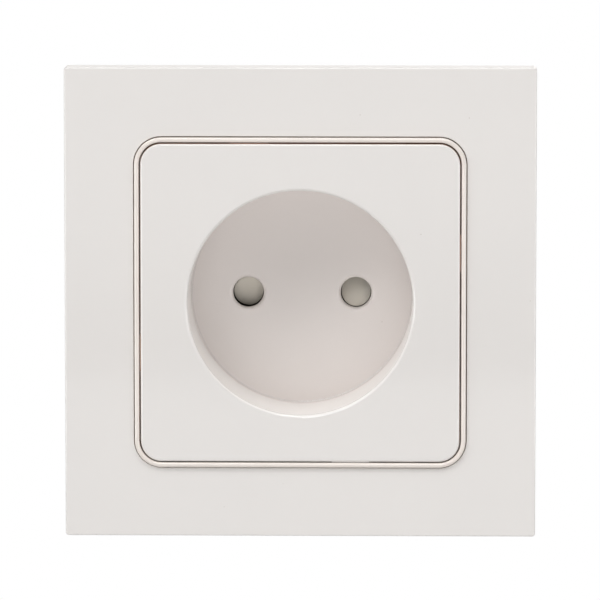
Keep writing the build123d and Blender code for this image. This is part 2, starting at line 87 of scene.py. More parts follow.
class Value:
    """A number socket of a node tree, on which Python's operators add Math nodes."""

    def __init__(self, shader: "Shader", socket: bpy.types.NodeSocket) -> None:
        """Keep the socket and the shader that new nodes go into."""
        self.shader = shader
        self.socket = socket

    def _math(self, operation: str, *values: Feed) -> "Value":
        """Add one Math node.

        Args:
            operation: Name of the operation, as the Math node spells it.
            values: What goes into its sockets, in order.

        Returns:
            The node's result.
        """
        node = self.shader.node("ShaderNodeMath", {"operation": operation}, dict(enumerate(values)))
        return Value(self.shader, node.outputs[0])

    def __add__(self, other: Feed) -> "Value":
        """This value plus another."""
        return self._math("ADD", self, other)

    def __radd__(self, other: Feed) -> "Value":
        """Another value plus this one."""
        return self._math("ADD", other, self)

    def __sub__(self, other: Feed) -> "Value":
        """This value less another."""
        return self._math("SUBTRACT", self, other)

    def __rsub__(self, other: Feed) -> "Value":
        """Another value less this one."""
        return self._math("SUBTRACT", other, self)

    def __mul__(self, other: Feed) -> "Value":
        """This value times another."""
        return self._math("MULTIPLY", self, other)

    def __rmul__(self, other: Feed) -> "Value":
        """Another value times this one."""
        return self._math("MULTIPLY", other, self)

    def absolute(self) -> "Value":
        """This value without its sign."""
        return self._math("ABSOLUTE", self)

    def at_least(self, other: Feed) -> "Value":
        """The higher of this value and another."""
        return self._math("MAXIMUM", self, other)

    def at_most(self, other: Feed) -> "Value":
        """The lower of this value and another."""
        return self._math("MINIMUM", self, other)

    def rise(self, low: float, high: float) -> "Value":
        """Smooth step from 0 at low to 1 at high, or a fall where low is the larger."""
        node = self.shader.node(
            "ShaderNodeMapRange", {"interpolation_type": "SMOOTHSTEP"},
            {"Value": self, "From Min": low, "From Max": high})
        return Value(self.shader, node.outputs["Result"])


class Shader:
    """The node tree of a material or of the world, with one way to add a node."""

    speck_core = 0.4
    bevel_samples = 6
    face_likeness = 0.995
    edge_likeness = 0.90

    def __init__(self, tree: bpy.types.NodeTree) -> None:
        """Start from an empty tree."""
        self.tree = tree
        self.tree.nodes.clear()

    def node(self, kind: str, settings: Mapping[str, object] = {},
             inputs: Mapping[Union[str, int], Feed] = {}) -> bpy.types.Node:
        """Add a node, give it its settings and then fill its sockets.

        Args:
            kind: The node's type.
            settings: Its properties.
            inputs: Values or links by the socket's name or number.

        Returns:
            The new node.
        """
        node = self.tree.nodes.new(kind)
        for name, setting in settings.items():
            setattr(node, name, setting)
        for key, feed in inputs.items():
            socket = node.inputs[key]
            if isinstance(feed, Value):
                self.tree.links.new(feed.socket, socket)
            elif isinstance(feed, bpy.types.NodeSocket):
                self.tree.links.new(feed, socket)
            else:
                socket.default_value = feed
        return node

    def mix(self, factor: Feed, first: Feed, second: Feed) -> bpy.types.NodeSocket:
        """Blend two colours.

        Args:
            factor: 0 for the first colour and 1 for the second.
            first: Colour or link.
            second: Colour or link.

        Returns:
            The blended colour.
        """
        node = self.node("ShaderNodeMix", {"data_type": "RGBA"}, {0: factor, 6: first, 7: second})
        return node.outputs[2]

    def place(self, stretch: Sequence[float] = (1.0, 1.0, 1.0)) -> bpy.types.NodeSocket:
        """Position on the piece in metres, in the part's own frame, stretched along each axis."""
        spot = self.node("ShaderNodeTexCoord").outputs["Object"]
        scaled = self.node("ShaderNodeVectorMath", {"operation": "MULTIPLY"}, {0: spot, 1: stretch})
        return scaled.outputs[0]

    def coordinates(self) -> tuple[Value, Value, Value]:
        """The three parts of the position: to the right, into the wall and up."""
        node = self.node("ShaderNodeSeparateXYZ", {}, {0: self.place()})
        return tuple(Value(self, output) for output in node.outputs)

    def distance(self, stretch: Sequence[float] = (1.0, 1.0, 1.0)) -> Value:
        """Distance from the origin, along the axes that the stretch keeps."""
        node = self.node("ShaderNodeVectorMath", {"operation": "LENGTH"}, {0: self.place(stretch)})
        return Value(self, node.outputs["Value"])

    def noise(self, size: float, detail: float = 2.0, stretch: Sequence[float] = (1.0, 1.0, 1.0)) -> Value:
        """Cloudy noise.

        Args:
            size: Width of one cloud in metres.
            detail: Number of finer layers.
            stretch: How much faster the noise runs along each axis.

        Returns:
            The noise, from 0 to 1.
        """
        node = self.node("ShaderNodeTexNoise", {}, {
            "Vector": self.place(stretch), "Scale": 1.0 / size, "Detail": detail})
        return Value(self, node.outputs[0])

    def specks(self, spacing: float, radius: float) -> Value:
        """Sparse round specks.

        Args:
            spacing: Usual distance between two specks in metres.
            radius: Radius of a speck in metres.

        Returns:
            1 in the middle of a speck, and 0 away from it.
        """
        node = self.node("ShaderNodeTexVoronoi", {"feature": "F1"}, {
            "Vector": self.place(), "Scale": 1.0 / spacing})
        edge = radius / spacing
        return Value(self, node.outputs["Distance"]).rise(edge, self.speck_core * edge)

    def soft_edges(self, radius: float) -> bpy.types.NodeSocket:
        """Normal of a surface whose edges are broken by a radius in metres."""
        return self.node("ShaderNodeBevel", {"samples": self.bevel_samples}, {"Radius": radius}).outputs[0]

    def edges(self, radius: float) -> Value:
        """1 along the edges of a piece, over a width in metres, and 0 on its faces."""
        face = self.node("ShaderNodeNewGeometry").outputs["Normal"]
        alike = self.node("ShaderNodeVectorMath", {"operation": "DOT_PRODUCT"}, {
            0: self.soft_edges(radius), 1: face})
        return Value(self, alike.outputs["Value"]).rise(self.face_likeness, self.edge_likeness)

    def relief(self, height: Value, depth: float, smooth: bpy.types.NodeSocket) -> bpy.types.NodeSocket:
        """Normal of a surface with a fine relief.

        Args:
            height: Relief from 0 to 1.
            depth: Depth of the relief in metres.
            smooth: Normal of the surface without the relief.

        Returns:
            The bent normal.
        """
        node = self.node("ShaderNodeBump", {}, {
            "Height": height, "Distance": depth, "Strength": 1.0, "Normal": smooth})
        return node.outputs[0]

    def surface(self, shader_output: bpy.types.NodeSocket, kind: str = "ShaderNodeOutputMaterial") -> None:
        """Lead a shader to the tree's output."""
        self.node(kind, {}, {"Surface": shader_output})


class RayKind(Enum):
    """Kinds of ray that see the white of the studio."""

    CAMERA = "Is Camera Ray"
    GLOSSY = "Is Glossy Ray"
    TRANSMISSION = "Is Transmission Ray"


def seen_as_backdrop(shader: Shader) -> Value:
    """1 for the rays that show the backdrop, and 0 for those that carry light to the object."""
    path = shader.node("ShaderNodeLightPath")
    seen = Value(shader, path.outputs[RayKind.CAMERA.value])
    for kind in (RayKind.GLOSSY, RayKind.TRANSMISSION):
        seen = seen + Value(shader, path.outputs[kind.value])
    return seen.at_most(1.0)


def rgba(colour: Colour, share: float = 1.0) -> tuple[float, float, float, float]:
    """A colour with full alpha, made lighter or darker by a share."""
    red, green, blue = colour
    return red * share, green * share, blue * share, 1.0


def new_material(name: str) -> tuple[bpy.types.Material, Shader]:
    """A material, and the shader that fills its empty node tree."""
    material = bpy.data.materials.new(name)
    material.use_nodes = True
    return material, Shader(material.node_tree)


@dataclass(frozen=True)
class Finish:
    """What all surfaces have: a colour with soft clouds, a gloss that varies and a fine relief."""

    name: str
    colour: Colour
    roughness: float
    roughness_spread: float
    cloud_size: float
    cloud_tint: Colour
    relief_size: float
    relief_depth: float
    relief_stretch: Triple = (1.0, 1.0, 1.0)
    metallic: float = 0.0
    index: float = 1.5
    edge_radius: float = 0.08 * MM
    edge_light: float = 0.0
    cloud_limits: Span = (0.3, 0.7)
    wear_size: float = 1.2 * MM
    wear_limits: Span = (0.3, 0.6)

    def tone(self, shader: Shader) -> bpy.types.NodeSocket:
        """Colour that drifts between the finish's own colour and its tint, lighter along worn edges."""
        clouds = shader.noise(self.cloud_size, detail=3.0).rise(*self.cloud_limits)
        face = shader.mix(clouds, rgba(self.colour), rgba(self.cloud_tint))
        if not self.edge_light:
            return face
        patchy = shader.noise(self.wear_size, detail=3.0).rise(*self.wear_limits)
        return shader.mix(self.edge_light * (shader.edges(2.0 * self.edge_radius) * patchy), face, WHITE)

    def gloss(self, shader: Shader) -> Value:
        """Roughness that drifts about its mean."""
        drift = shader.noise(0.6 * self.cloud_size, detail=4.0)
        return self.roughness + self.roughness_spread * (2.0 * drift - 1.0)

    def grain(self, shader: Shader) -> Value:
        """Height of the fine relief."""
        return shader.noise(self.relief_size, stretch=self.relief_stretch)

    def material(self) -> bpy.types.Material:
        """Make the material of this finish.

        Returns:
            A material with its node tree.
        """
        material, shader = new_material(self.name)
        principled = shader.node("ShaderNodeBsdfPrincipled", {}, {
            "Base Color": self.tone(shader),
            "Roughness": self.gloss(shader),
            "Metallic": self.metallic,
            "IOR": self.index,
            "Normal": shader.relief(
                self.grain(shader), self.relief_depth, shader.soft_edges(self.edge_radius))})
        shader.surface(principled.outputs[0])
        return material


@dataclass(frozen=True)
class CoverZones:
    """Where the sides, the ring, the two grooves round the plate and the plug well lie, in metres."""

    plate_half: float
    plate_top: float
    ring_half: float
    frame_half: float
    frame_top: float
    well_radius: float
    plate_corner: float = 3.65 * MM
    rib_height: float = 0.15 * MM
    plate_groove_reach: float = 0.14 * MM
    frame_groove_reach: float = 0.35 * MM
    groove_core: float = 0.7
    groove_start: float = 0.05 * MM
    groove_full: float = 0.35 * MM
    low_share: float = 0.05
    ring_start: Span = (0.10 * MM, 0.16 * MM)
    ring_end: Span = (0.10 * MM, 0.04 * MM)
    side_inset: Span = (1.0 * MM, 0.9 * MM)
    side_start: Span = (0.2 * MM, 0.4 * MM)
    well_rim: float = 0.3 * MM
    well_start: float = 0.8 * MM
    well_depth: float = 17.0 * MM
    floor_blend: Span = (2.35 * MM, 0.35 * MM)
    corner_blend: Span = (0.40 * MM, 0.25 * MM)

    @classmethod
    def from_frame(cls) -> "CoverZones":
        """Read the zones off the plate, the ring, the frame and the well's mount."""
        well = next(mount for mount in frame["record"]["mounts"] if mount["name"] == "plug_well")
        plate_low, plate_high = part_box("centre_plate")
        return cls(
            plate_half=plate_high.x - cls.rib_height,
            plate_top=plate_low.y,
            ring_half=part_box("trim_ring")[1].x,
            frame_half=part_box("outer_frame")[1].x,
            frame_top=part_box("outer_frame")[0].y,
            well_radius=well["dims"]["r_mm"] * MM)

    @property
    def ring_width(self) -> float:
        """Width of the ring, from the plate's outline to its own."""
        return self.ring_half - self.plate_half

    @property
    def floor_level(self) -> float:
        """Place of the well's floor along Y."""
        return self.plate_top + self.well_depth

    def depth(self, shader: Shader) -> Value:
        """Place along Y, into the wall."""
        return shader.coordinates()[1]

    def from_axis(self, shader: Shader) -> Value:
        """Distance from the well's axis."""
        return shader.distance((1.0, 0.0, 1.0))

    def beside_plate(self, shader: Shader) -> Value:
        """Distance outside the plate's rounded outline."""
        across, _, up = shader.coordinates()
        straight = self.plate_half - self.plate_corner
        corner = shader.node("ShaderNodeCombineXYZ", {}, {
            0: (across.absolute() - straight).at_least(0.0), 2: (up.absolute() - straight).at_least(0.0)})
        length = shader.node("ShaderNodeVectorMath", {"operation": "LENGTH"}, {0: corner.outputs[0]})
        return Value(shader, length.outputs["Value"]) - self.plate_corner

    def groove(self, shader: Shader, beside: Value, place: float, reach: float, top: float) -> Value:
        """One groove round the plate.

        Args:
            shader: The tree that the mask goes into.
            beside: Distance outside the plate's outline.
            place: Where the groove lies beside the plate.
            reach: How far to both sides of that place it goes.
            top: Level of the face at which it starts.

        Returns:
            1 deep in the groove, and 0 away from it.
        """
        band = (beside - place).absolute().rise(reach, self.groove_core * reach)
        return band * self.depth(shader).rise(top + self.groove_start, top + self.groove_full)

    def grooves(self, shader: Shader) -> Value:
        """The plate's side towards the ring, and the gap between ring and frame, where shade is painted;
        the mask is weaker near the bottom.
        """
        beside = self.beside_plate(shader)
        inner = self.groove(shader, beside, 0.0, self.plate_groove_reach, self.plate_top)
        outer = self.groove(shader, beside, self.ring_width, self.frame_groove_reach, self.frame_top)
        _, _, up = shader.coordinates()
        clear_of_foot = up.rise(-self.plate_half, self.plate_corner - self.plate_half)
        return inner.at_least(outer) * (self.low_share + (1.0 - self.low_share) * clear_of_foot)

    def ring(self, shader: Shader) -> Value:
        """1 on the trim ring, and 0 on the plate and the frame."""
        beside = self.beside_plate(shader)
        end, last = (self.ring_width + step for step in self.ring_end)
        return beside.rise(*self.ring_start) * beside.rise(end, last)

    def sides(self, shader: Shader) -> Value:
        """1 on the outer sides of the frame, and 0 on its face."""
        across, depth, up = shader.coordinates()
        outside = across.absolute().at_least(up.absolute())
        inner, outer = (self.frame_half - inset for inset in self.side_inset)
        start, full = (self.frame_top + step for step in self.side_start)
        return outside.rise(inner, outer) * depth.rise(start, full)

    def well(self, shader: Shader) -> Value:
        """1 inside the plug well, and 0 on the faces round it."""
        within = self.from_axis(shader).rise(self.well_radius + self.well_rim, self.well_radius)
        return within * self.depth(shader).rise(self.plate_top, self.plate_top + self.well_start)

    def floor(self, shader: Shader) -> Value:
        """1 on the floor of the plug well, and 0 on its wall and in front of it."""
        start, full = (self.floor_level - step for step in self.floor_blend)
        return self.well(shader) * self.depth(shader).rise(start, full)

    def corner(self, shader: Shader) -> Value:
        """1 in the rounded corner between the well's floor and its wall, and 0 away from it."""
        start, full = (self.well_radius - step for step in self.corner_blend)
        above, level = (self.floor_level - step for step in self.corner_blend)
        beside_wall = self.from_axis(shader).rise(start, full)
        return self.well(shader) * beside_wall * self.depth(shader).rise(above, level)


@dataclass(frozen=True)
class GlossMoulding(Finish):
    """Polished white moulding with a trace of dust, less polished in the well, with shade and light
    painted into its grooves, well, sides and rims.
    """

    speck_spacing: float = 7.0 * MM
    speck_radius: float = 0.13 * MM
    speck_colour: Colour = (0.50, 0.45, 0.39)
    speck_share: float = 0.6
    # Painted shade: a dark warm colour in the grooves round the plate.
    groove_painted_shade: Colour = (0.30, 0.12, 0.04)
    # Painted highlight: thin rims are mixed towards white by this share.
    rim_radius: float = 0.3 * MM
    rim_painted_highlight: float = 0.9
    ring_colour: Colour = (0.885, 0.812, 0.750)
    # Painted shade: the frame's outer sides are darker than its face.
    side_painted_shade: Colour = (0.800, 0.770, 0.745)
    # Painted light: the well's wall is lighter than the faces of the same moulding.
    well_wall_painted_light: Colour = (0.900, 0.873, 0.848)
    # Painted shade: the well's floor is darker and warmer than the faces.
    well_floor_painted_shade: Colour = (0.828, 0.775, 0.748)
    # Painted shade: darker in the corner between the well's floor and its wall.
    corner_painted_shade: Colour = (0.735, 0.690, 0.665)
    well_roughness: float = 0.26
    dull_roughness: float = 0.45
    zones: CoverZones = field(default_factory=CoverZones.from_frame)

    def tone(self, shader: Shader) -> bpy.types.NodeSocket:
        """Clouded white with specks of dust, painted light on the well's wall, painted warm shade on its
        floor, in its corner, on the frame's sides and in the grooves, and a painted highlight on thin
        rims.
        """
        clean = super().tone(shader)
        # Painted light on the well's wall; painted shade on its floor, in its corner and on the frame's
        # sides.
        for zone, colour in (
                (self.zones.well, self.well_wall_painted_light), (self.zones.floor, self.well_floor_painted_shade),
                (self.zones.corner, self.corner_painted_shade), (self.zones.ring, self.ring_colour),
                (self.zones.sides, self.side_painted_shade)):
            clean = shader.mix(zone(shader), clean, rgba(colour))
        specks = self.speck_share * shader.specks(self.speck_spacing, self.speck_radius)
        dusty = shader.mix(specks, clean, rgba(self.speck_colour))
        # Painted highlight along thin rims.
        highlighted = shader.mix(self.rim_painted_highlight * shader.edges(self.rim_radius), dusty, WHITE)
        # Painted shade in the grooves, weaker near the bottom.
        return shader.mix(self.zones.grooves(shader), highlighted, rgba(self.groove_painted_shade))

    def gloss(self, shader: Shader) -> Value:
        """Polished on the faces, and duller inside the well, in the grooves and on the frame's sides."""
        dull = self.dull_roughness * self.zones.grooves(shader).at_least(self.zones.sides(shader))
        return super().gloss(shader) + self.well_roughness * self.zones.well(shader) + dull


@dataclass(frozen=True)
class EtchedMoulding(Finish):
    """Matt moulding from an etched tool, with flow marks."""

    flow_size: float = 5.0 * MM
    flow_share: float = 0.35
    flow_stretch: Triple = (1.0, 0.3, 2.2)

    def grain(self, shader: Shader) -> Value:
        """Fine etched pits over long shallow flow marks."""
        pits = shader.noise(self.relief_size, detail=3.0)
        flow = shader.noise(self.flow_size, detail=1.0, stretch=self.flow_stretch)
        return (1.0 - self.flow_share) * pits + self.flow_share * flow


@dataclass(frozen=True)
class ShutterMoulding(EtchedMoulding):
    """Grey moulding of the shutter, with painted shade below its two pads."""

    # Painted shade: a dark colour behind the pads, where the recess lies in shade.
    recess_painted_shade: Colour = (0.13, 0.11, 0.09)
    painted_shade_depth: float = 2.5 * MM
    painted_shade_blend: float = 0.5 * MM

    def tone(self, shader: Shader) -> bpy.types.NodeSocket:
        """Clouded grey on the pads and painted shade behind them."""
        _, depth, _ = shader.coordinates()
        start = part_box("shutter")[0].y + self.painted_shade_depth
        # Painted shade behind the pads.
        return shader.mix(
            depth.rise(start, start + self.painted_shade_blend), super().tone(shader), rgba(self.recess_painted_shade))


@dataclass(frozen=True)
class PlatedSheet(Finish):
    """Plated sheet metal with rolling lines and a faint passivated tint."""

    line_share: float = 0.6
    line_width: float = 3.0
    bloom_size: float = 0.5 * MM

    def grain(self, shader: Shader) -> Value:
        """Rolling lines over a fine crystal bloom."""
        lines = super().grain(shader)
        bloom = shader.noise(self.bloom_size, detail=3.0)
        return self.line_share * lines + (1.0 - self.line_share) * bloom

    def gloss(self, shader: Shader) -> Value:
        """Roughness that follows the rolling lines."""
        lines = shader.noise(self.line_width * self.relief_size, detail=3.0, stretch=self.relief_stretch)
        return super().gloss(shader) + self.roughness_spread * (lines - 0.5)


class Finishes:
    """The socket's finishes, each made once and handed out by the finish's name."""

    white = GlossMoulding(
        "white_gloss_plastic", (0.862, 0.831, 0.804), 0.06, 0.02, 22 * MM, (0.853, 0.823, 0.797),
        1.1 * MM, 0.0003 * MM)
    shutter = ShutterMoulding(
        "grey_shutter_plastic", (0.785, 0.74, 0.655), 0.50, 0.06, 4 * MM, (0.755, 0.71, 0.63),
        0.12 * MM, 0.004 * MM, index=1.3)
    inner = EtchedMoulding(
        "pale_inner_plastic", (0.72, 0.71, 0.67), 0.42, 0.06, 9 * MM, (0.69, 0.68, 0.63),
        0.18 * MM, 0.006 * MM)
    base = EtchedMoulding(
        "grey_base_plastic", (0.56, 0.56, 0.55), 0.52, 0.07, 14 * MM, (0.52, 0.52, 0.515),
        0.16 * MM, 0.012 * MM, edge_radius=0.15 * MM, edge_light=0.18)
    zinc = PlatedSheet(
        "zinc_plated_steel", (0.70, 0.72, 0.75), 0.34, 0.10, 8 * MM, (0.75, 0.735, 0.68),
        0.25 * MM, 0.004 * MM, (0.15, 1.0, 1.0), metallic=1.0, edge_radius=0.12 * MM, edge_light=0.45)
    spring = PlatedSheet(
        "spring_steel", (0.58, 0.58, 0.60), 0.28, 0.06, 1.5 * MM, (0.52, 0.52, 0.55),
        0.06 * MM, 0.002 * MM, (1.0, 1.0, 0.3), metallic=1.0)
    brass = PlatedSheet(
        "contact_brass", (0.82, 0.62, 0.30), 0.30, 0.08, 3 * MM, (0.70, 0.49, 0.21),
        0.20 * MM, 0.003 * MM, (1.0, 0.2, 1.0), metallic=1.0, edge_light=0.25)

    def __init__(self) -> None:
        """Make every material once."""
        every = (self.white, self.shutter, self.inner, self.base, self.zinc, self.spring, self.brass)
        self.made = {finish.name: finish.material() for finish in every}

    def dress(self, piece: bpy.types.Object, finish: Finish) -> None:
        """Give a piece a finish in all its slots.

        Args:
            piece: A node of the part or a new piece.
            finish: The finish that it takes.
        """
        material = self.made[finish.name]
        slots = piece.data.materials
        if not slots:
            slots.append(material)
        for number in range(len(slots)):
            slots[number] = material
        log.info("%s: %s", piece.name, finish.name)


def soften(shape: bmesh.types.BMesh, smooth_angle: float) -> None:
    """Turn the faces outwards and shade them smooth, apart from sharp and open edges.

    Args:
        shape: The mesh.
        smooth_angle: Edges sharper than this, in degrees, stay sharp.
    """
    bmesh.ops.recalc_face_normals(shape, faces=shape.faces)
    for face in shape.faces:
        face.smooth = True
    for edge in shape.edges:
        edge.smooth = len(edge.link_faces) == 2 and edge.calc_face_angle() < math.radians(smooth_angle)


def new_piece(name: str, build: Callable[[bmesh.types.BMesh], None],
              smooth_angle: float = 30.0) -> bpy.types.Object:
    """Make an object from a function that fills a mesh.

    Args:
        name: The piece's name.
        build: Function that adds the geometry.
        smooth_angle: Edges sharper than this, in degrees, stay sharp.

    Returns:
        The object, linked to the scene.
    """
    mesh = bpy.data.meshes.new(name)
    shape = bmesh.new()
    build(shape)
    soften(shape, smooth_angle)
    shape.to_mesh(mesh)
    shape.free()
    piece = bpy.data.objects.new(name, mesh)
    bpy.context.scene.collection.objects.link(piece)
    return piece


def skin(shape: bmesh.types.BMesh, rings: Sequence[Sequence[Vector]]) -> None:
    """Close a tube over rings of points and cap its two ends.

    Args:
        shape: The mesh that the tube goes into.
        rings: Rings with equal numbers of points, in order along the tube.
    """
    loops = [[shape.verts.new(point) for point in ring] for ring in rings]
    count = len(loops[0])
    for before, after in zip(loops, loops[1:]):
        for i in range(count):
            j = (i + 1) % count
            shape.faces.new((before[i], before[j], after[j], after[i]))
    shape.faces.new(loops[0])
    shape.faces.new(loops[-1])


@dataclass
class CoverSet:
    """What is seen from the room: frame, trim ring and centre plate."""

    finishes: Finishes

    def dress(self) -> None:
        """Give the three covers their polished white."""
        for node in COVERS:
            self.finishes.dress(frame["nodes"][node], self.finishes.white)


@dataclass
class ReturnSpring:
    """Compression spring under one wing of the shutter, with closed ends."""

    node: str
    wire_radius: float = 0.2 * MM
    active_turns: float = 4.0
    closed_turns: float = 0.5
    steps_per_turn: int = 40
    section_points: int = 12
    smooth_angle: float = 50.0
    pressed_share: float = 0.15

    def spine(self) -> list[Vector]:
        """Points of the wire's middle, from one closed end to the other."""
        low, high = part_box(self.node)
        middle = (low + high) / 2
        radius = (high.x - low.x) / 2 - self.wire_radius
        bottom, top = low.z + self.wire_radius, high.z - self.wire_radius
        turns = self.active_turns + 2 * self.closed_turns
        closed = self.closed_turns * 2 * self.wire_radius
        pitch = (top - bottom - 2 * closed) / self.active_turns
        points = []
        for step in range(int(turns * self.steps_per_turn) + 1):
            turn = step / self.steps_per_turn
            first = min(turn, self.closed_turns)
            last = max(turn - self.closed_turns - self.active_turns, 0.0)
            active = turn - first - last
            height = bottom + (first + last) * 2 * self.wire_radius + active * pitch
            angle = 2 * math.pi * turn
            points.append(Vector((
                middle.x + radius * math.cos(angle), middle.y + radius * math.sin(angle), height)))
        return points

    def build(self, shape: bmesh.types.BMesh) -> None:
        """Sweep a round wire along the spine."""
        points = self.spine()
        low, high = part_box(self.node)
        axis = (low + high) / 2
        rings = []
        for i, point in enumerate(points):
            along = (points[min(i + 1, len(points) - 1)] - points[max(i - 1, 0)]).normalized()
            outward = Vector((point.x - axis.x, point.y - axis.y, 0.0)).normalized()
            upward = along.cross(outward).normalized()
            outward = upward.cross(along)
            ring = []
            for corner in range(self.section_points):
                angle = 2 * math.pi * corner / self.section_points
                reach = math.cos(angle) * outward + math.sin(angle) * upward
                ring.append(point + self.wire_radius * reach)
            rings.append(ring)
        skin(shape, rings)

    def add(self, finishes: Finishes) -> bpy.types.Object:
        """Put the spring in its node's place.

        Args:
            finishes: Where its finish comes from.

        Returns:
            The spring.
        """
        low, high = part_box(self.node)
        name = self.node.replace("shutter_spring", "return_spring")
        piece = new_piece(name, self.build, self.smooth_angle)
        finishes.dress(piece, finishes.spring)
        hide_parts(self.node)
        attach(piece, "socket")
        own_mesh(piece)
        return piece


@dataclass
class ShutterUnit:
    """Rotor that closes the pin holes, with its springs, cup and screw."""

    finishes: Finishes

    def dress(self) -> None:
        """Finish the moulded pieces and put round-wire springs in."""
        self.finishes.dress(frame["nodes"]["shutter"], self.finishes.shutter)
        self.finishes.dress(frame["nodes"]["shutter_cup"], self.finishes.inner)
        self.finishes.dress(frame["nodes"]["shutter_cup_screw"], self.finishes.zinc)
        for side in SIDES:
            ReturnSpring(f"shutter_spring_{side}").add(self.finishes)


@dataclass
class ContactBody:
    """Moulded body behind the support plate, its cover and what holds them."""

    finishes: Finishes

    def dress(self) -> None:
        """Finish the mouldings, the screws and the rivets."""
        for node in ("mechanism_base", "rear_cover"):
            self.finishes.dress(frame["nodes"][node], self.finishes.base)
        self.finishes.dress(frame["nodes"]["rear_cover_screws"], self.finishes.zinc)
        self.finishes.dress(frame["nodes"]["base_rivets"], self.finishes.brass)


@dataclass
class Terminals:
    """Contacts, their clips, the terminal cages and screws."""

    finishes: Finishes

    def dress(self) -> None:
        """Finish the pieces of both poles."""
        for side in SIDES:
            for node in ("contact", "terminal_cage"):
                self.finishes.dress(frame["nodes"][f"{node}_{side}"], self.finishes.brass)
            self.finishes.dress(frame["nodes"][f"contact_spring_{side}"], self.finishes.spring)
            self.finishes.dress(frame["nodes"][f"terminal_screw_{side}"], self.finishes.zinc)


def clamp(share: float) -> float:
    """Keep a share between 0 and 1."""
    return min(max(share, 0.0), 1.0)


@dataclass
class ClawScrew:
    """Machine screw with a pan head, a cross recess and a rolled thread, along Y."""

    side: str
    shank_radius: float = 1.5 * MM
    thread_depth: float = 0.27 * MM
    pitch: float = 0.5 * MM
    plain_length: float = 1.2 * MM
    point_length: float = 0.5 * MM
    head_height: float = 1.8 * MM
    head_round: float = 0.4 * MM
    recess_width: float = 0.8 * MM
    recess_depth: float = 1.0 * MM
    flank_slope: float = 1.4
    root_flat: float = 0.2
    around: int = 48
    rows_per_pitch: int = 12
    round_steps: int = 6
    smooth_angle: float = 35.0

    @property
    def node(self) -> str:
        """Name of the node that the screw stands for."""
        return f"claw_screw_{self.side}"

    def lathe_ring(self, radius: float, y: float) -> list[Vector]:
        """Round ring of points about the screw's axis."""
        low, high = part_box(self.node)
        middle = (low + high) / 2
        angles = [2 * math.pi * i / self.around for i in range(self.around)]
        return [Vector((middle.x + radius * math.cos(angle), y, middle.z + radius * math.sin(angle)))
                for angle in angles]

    def thread_ring(self, y: float, start: float, end: float) -> list[Vector]:
        """Ring across the shank, cut by the thread's flanks.

        Args:
            y: Place of the ring along the screw.
            start: Where the shank leaves the head.
            end: The screw's point.

        Returns:
            The ring's points.
        """
        low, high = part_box(self.node)
        middle = (low + high) / 2
        runout = clamp((y - start - self.plain_length) / self.pitch)
        point = clamp((end - y) / self.point_length)
        ring = []
        for i in range(self.around):
            turn = i / self.around
            phase = ((y - start) / self.pitch - turn) % 1.0
            flank = clamp(abs(2 * phase - 1) * self.flank_slope - self.root_flat)
            radius = self.shank_radius - self.thread_depth * runout * (1.0 - flank)
            radius = min(radius, self.shank_radius - self.thread_depth * (1.0 - point))
            angle = 2 * math.pi * turn
            ring.append(Vector((
                middle.x + radius * math.cos(angle), y, middle.z + radius * math.sin(angle))))
        return ring

    def build_shank(self, shape: bmesh.types.BMesh) -> None:
        """Threaded shank from inside the head to the point."""
        low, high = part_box(self.node)
        start = low.y + self.head_height
        rows = int((high.y - start) / self.pitch * self.rows_per_pitch)
        places = [start + (high.y - start) * row / rows for row in range(rows + 1)]
        skin(shape, [self.thread_ring(y, start, high.y) for y in places])

    def build_head(self, shape: bmesh.types.BMesh) -> None:
        """Pan head with a rounded brim."""
        low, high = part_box(self.node)
        radius = (high.x - low.x) / 2
        rings = [self.lathe_ring(radius, low.y + self.head_height)]
        for step in range(self.round_steps + 1):
            angle = math.pi / 2 * step / self.round_steps
            rings.append(self.lathe_ring(
                radius - self.head_round * (1 - math.cos(angle)),
                low.y + self.head_round * (1 - math.sin(angle))))
        skin(shape, rings)

    def build_recess(self, shape: bmesh.types.BMesh) -> None:
        """Cross that is cut out of the head."""
        low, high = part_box(self.node)
        middle = (low + high) / 2
        reach = (high.x - low.x) / 2 - self.recess_width
        half = self.recess_width / 2
        arm = [(reach, -half), (reach, half), (half, half)]
        corners = []
        for quarter in range(4):
            cosine, sine = round(math.cos(quarter * math.pi / 2)), round(math.sin(quarter * math.pi / 2))
            corners += [(x * cosine - z * sine, x * sine + z * cosine) for x, z in arm]
        skin(shape, [[Vector((middle.x + x, y, middle.z + z)) for x, z in corners]
                     for y in (low.y - self.recess_depth, low.y + self.recess_depth)])

    def add(self, finishes: Finishes) -> bpy.types.Object:
        """Make the screw and put it in its node's place.

        Args:
            finishes: Where its finish comes from.

        Returns:
            The screw.
        """
        head = new_piece(f"threaded_{self.node}", self.build_head, self.smooth_angle)
        recess = new_piece(f"recess_{self.side}", self.build_recess)
        cut = head.modifiers.new("recess", "BOOLEAN")
        cut.operation = "DIFFERENCE"
        cut.solver = "EXACT"
        cut.object = recess
        bpy.context.view_layer.update()
        evaluated = head.evaluated_get(bpy.context.evaluated_depsgraph_get())
        cut_mesh = bpy.data.meshes.new_from_object(evaluated)
        head.modifiers.clear()
        bpy.data.objects.remove(recess)
        shape = bmesh.new()
        shape.from_mesh(cut_mesh)
        self.build_shank(shape)
        soften(shape, self.smooth_angle)
        shape.to_mesh(head.data)
        shape.free()
        finishes.dress(head, finishes.zinc)
        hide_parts(self.node)
        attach(head, self.node)
        return head


@dataclass
class SupportAndClaws:
    """Support plate with its spreading claws and their screws."""

    finishes: Finishes

    def dress(self) -> None:
        """Finish the sheet metal and put the threaded screws in."""
        for node in ("support_plate", "claw_left", "claw_right"):
            self.finishes.dress(frame["nodes"][node], self.finishes.zinc)
        for side in SIDES:
            ClawScrew(side).add(self.finishes)


def direction(azimuth: float, elevation: float) -> Vector:
    """Unit vector from the socket to a place seen at angles in degrees; azimuth 0 is straight in front."""
    a, e = math.radians(azimuth), math.radians(elevation)
    return Vector((math.sin(a) * math.cos(e), -math.cos(a) * math.cos(e), math.sin(e)))


